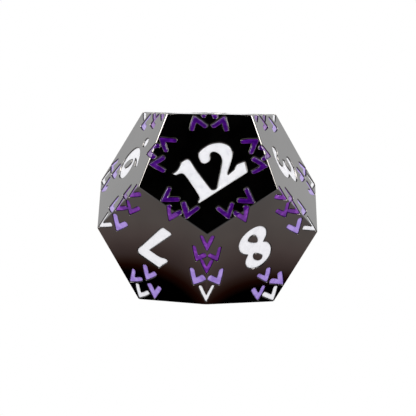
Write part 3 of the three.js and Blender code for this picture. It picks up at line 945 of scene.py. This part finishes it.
def make_numerals():
    for number, _, _, pole in FACES:
        is_pole = number == pole
        height = EDGE * (POLE_NUMERAL_HEIGHT if is_pole else NUMERAL_HEIGHT)
        offset = EDGE * (POLE_NUMERAL_OFFSET if is_pole else NUMERAL_OFFSET)
        baseline = offset - height / 2
        place = face_frame(number)
        weight = 0 if is_pole else NUMERAL_WEIGHT
        entries = []
        for glyph, shift in NUMERALS[number]:
            loops = glyph_loops(glyph, height, shift * height, baseline, NUMERAL_ROUND)
            entries.append(([grown(loop, weight) for loop in loops], place, None))
        inlay(f"enamel_{number}", "white", entries, f"numeral_{number}")
        if number in (6, 9):
            loops = glyph_loops(DOT, height, 0, baseline, NUMERAL_ROUND)
            inlay(f"enamel_dot_{number}", "white", [(loops, place, None)], f"dot_{number}")


def make_cluster(node, spots, rng, first_batch=0):
    """One piece for each paint of a cluster. Neighbouring chevrons go to different batches."""
    made = []
    for index, (paint, kind, place, x, y, turn, squeeze, ridge) in enumerate(spots):
        loops = chevron(kind, x, y, turn, squeeze, rng)
        made.append((paint, (loops, place, ridge), first_batch + index))
    for paint in sorted({paint for paint, _, _ in made}):
        entries = [entry for own, entry, _ in made if own == paint]
        batches = [batch for own, _, batch in made if own == paint]
        stem = node.replace("_purple", "").replace("_pale", "")
        inlay(f"{stem}_{paint}_fill", paint, entries, node, batches)


def make_chevrons():
    rng = random.Random(SEED)
    for pole in (12, 1):
        ring = RINGS[pole]
        for index, number in enumerate(ring):
            following = ring[(index + 1) % len(ring)]
            make_cluster(f"chevrons_{pole}_{number}_purple", pole_edge(pole, number), rng)
            pair = f"chevrons_{number}_{following}"
            make_cluster(f"{pair}_purple", ring_edge_purple(pole, number, following), rng)
            make_cluster(f"{pair}_pale", ring_edge_pale(pole, number, following), rng,
                         PALE_BATCH)
            make_cluster(f"chevrons_{number}_corner_pale", far_corner(number), rng)


def rounded_dodecahedron():
    """The die's outside, with rolled edges."""
    bm = bmesh.new()
    corners = {}
    for key in permutations(NORMALS, 3):
        a, b, c = (NORMALS[number] for number in key)
        if list(key) == sorted(key) and min(a.dot(b), b.dot(c), a.dot(c)) > NEIGHBOUR_COSINE:
            spot = a + b + c
            spot *= FACE_DISTANCE * EDGE / spot.dot(a)
            corners[key] = bm.verts.new(spot)
    for number, normal in NORMALS.items():
        own = [(key, vert) for key, vert in corners.items() if number in key]
        up = flattened(own[0][1].co, normal)
        right = up.cross(normal)
        own.sort(key=lambda item: math.atan2(item[1].co.dot(up), item[1].co.dot(right)))
        bm.faces.new([vert for _, vert in own])
    bmesh.ops.bevel(bm, geom=bm.edges[:], offset=ROUND_RADIUS * math.tan(EDGE_SLOPE),
                    offset_type="OFFSET", segments=ROUND_SEGMENTS, profile=0.5,
                    affect="EDGES")
    bmesh.ops.recalc_face_normals(bm, faces=bm.faces[:])
    return bm


def object_from(bm, name):
    mesh = bpy.data.meshes.new(name)
    bm.to_mesh(mesh)
    bm.free()
    made = bpy.data.objects.new(name, mesh)
    bpy.context.scene.collection.objects.link(made)
    return made


def subtract(blank, tool_bm):
    """Cuts one batch out of the blank. Its solids are closed and never overlap, so the fast
    manifold solver is safe."""
    tool = object_from(tool_bm, "tool")
    cut = blank.modifiers.new("cut", "BOOLEAN")
    cut.operation = "DIFFERENCE"
    cut.object = tool
    cut.solver = "MANIFOLD"
    graph = bpy.context.evaluated_depsgraph_get()
    result = bpy.data.meshes.new_from_object(blank.evaluated_get(graph))
    blank.modifiers.clear()
    old = blank.data
    blank.data = result
    bpy.data.meshes.remove(old)
    bpy.data.objects.remove(tool)


def settle_normals(mesh):
    """Shades the die's faces as true planes, and their rolled edges smoothly into them."""
    planes = {}
    flats = {}
    for poly in mesh.polygons:
        normal = max(NORMALS.values(), key=poly.normal.dot)
        if poly.normal.dot(normal) > FLAT_COSINE:
            planes[poly.index] = normal
            for vert in poly.vertices:
                flats.setdefault(vert, []).append(normal)
    normals = [corner.vector.copy() for corner in mesh.corner_normals]
    for poly in mesh.polygons:
        for corner in poly.loop_indices:
            touching = flats.get(mesh.loops[corner].vertex_index, [])
            near = [plane for plane in touching if poly.normal.dot(plane) > ROLL_COSINE]
            if poly.index in planes:
                normals[corner] = planes[poly.index]
            elif near:
                normals[corner] = near[0]
    mesh.normals_split_custom_set(normals)


def make_body():
    blank = object_from(rounded_dodecahedron(), "blank")
    for tool in cutters.values():
        subtract(blank, tool)
    bm = bmesh.new()
    bm.from_mesh(blank.data)
    bpy.data.objects.remove(blank)
    settle_normals(finish_piece("metal_body", bm, METAL, "die_body", METAL_SHARP))


# ---- Floor, light and camera ----

def make_floor():
    """A pale floor. Its mirror image in the metal carries a painted shadow that falls off to black
    under the die.
    """
    bm = bmesh.new()
    bmesh.ops.create_grid(bm, x_segments=8, y_segments=8, size=FLOOR_SIZE * SPAN)
    floor = object_from(bm, "floor")
    floor.location = (0, 0, cad_low.z - FLOOR_GAP)
    n = MaterialNodes("pale_floor")
    (x, y), (reach_x, reach_y) = FLOOR_SHADE_CENTRE, FLOOR_SHADE_RADII
    spot = n.add("ShaderNodeMapping", {
        "Vector": n.place, "Location": (-x / reach_x, -y / reach_y, 0),
        "Scale": (1 / reach_x / SPAN, 1 / reach_y / SPAN, 0)})
    away = n.add("ShaderNodeVectorMath", {0: spot.outputs[0]}, operation="LENGTH")
    # A painted shadow, shown only to mirror rays: black under the die, fading to white further
    # out.
    shade = n.ramp(n.spread(away.outputs["Value"], FLOOR_SHADE_SPAN, UNIT), FLOOR_SHADE)
    mirrored = n.add("ShaderNodeEmission", {"Color": shade, "Strength": 1.0}).outputs[0]
    plain = n.add("ShaderNodeEmission", {"Color": (1, 1, 1, 1), "Strength": 1.0}).outputs[0]
    n.by_ray(plain, mirrored, n.tree.nodes["Material Output"].inputs["Surface"])
    floor.data.materials.append(n.material)


def make_world():
    """A white room. Its mirror image in the metal is dark overhead and brighter behind."""
    world = bpy.data.worlds.new("studio")
    bpy.context.scene.world = world
    world.use_nodes = True
    world.node_tree.nodes.clear()
    n = Nodes(world.node_tree)
    towards = n.add("ShaderNodeTexCoord").outputs["Generated"]
    split = n.add("ShaderNodeSeparateXYZ", {0: towards}).outputs
    gap = n.maths("MAXIMUM", n.fade(n.maths("ABSOLUTE", split["X"]), *ROOM_GAP),
                  n.fade(split["Z"], *ROOM_GAP_FOOT))
    wall = n.maths("MULTIPLY", gap, n.fade(split["Y"], *ROOM_BACK))
    level = n.maths("MULTIPLY", n.fade(split["Z"], *ROOM_TOP), wall)
    mirrored = n.add("ShaderNodeBackground", {"Strength": level}).outputs[0]
    plain = n.add("ShaderNodeBackground", {"Strength": 1.0, "Color": (1, 1, 1, 1)}).outputs[0]
    n.by_ray(plain, mirrored, n.add("ShaderNodeOutputWorld").inputs["Surface"])


def soft_box(name, direction, distance, width, height, radiance, colour):
    """A panel that faces the die and shows in mirror images but not on matt surfaces."""
    towards = direction.normalized()
    light = bpy.data.lights.new(name, "AREA")
    light.shape = "RECTANGLE"
    light.size, light.size_y = width * SPAN, height * SPAN
    light.energy = radiance * math.pi * light.size * light.size_y
    light.color = colour
    panel = bpy.data.objects.new(name, light)
    panel.location = towards * distance * SPAN
    panel.rotation_mode = "QUATERNION"
    panel.rotation_quaternion = towards.to_track_quat("Z", "Y")
    panel.visible_diffuse = False
    bpy.context.scene.collection.objects.link(panel)


def make_lights():
    for side in (-1, 1):
        for name, (x, y, z), *rest in SOFT_BOXES:
            soft_box(name, Vector((side * x, y, z)), *rest)


def make_camera():
    data = bpy.data.cameras.new("camera")
    data.lens = CAMERA_LENS
    data.sensor_width = CAMERA_SENSOR
    camera = bpy.data.objects.new("camera", data)
    bpy.context.scene.collection.objects.link(camera)
    back = Vector((0, -math.cos(CAMERA_PITCH), math.sin(CAMERA_PITCH)))
    level = Vector((1, 0, 0))
    upright = back.cross(level)
    right = level * math.cos(CAMERA_ROLL) + upright * math.sin(CAMERA_ROLL)
    up = upright * math.cos(CAMERA_ROLL) - level * math.sin(CAMERA_ROLL)
    turned = Matrix((right, up, back)).transposed().to_4x4()
    camera.matrix_world = Matrix.Translation(CAMERA_PLACE * SPAN) @ turned
    bpy.context.scene.camera = camera


make_numerals()
make_chevrons()
make_body()
make_floor()
make_world()
make_lights()
make_camera()
bpy.context.scene.view_settings.view_transform = "Standard"
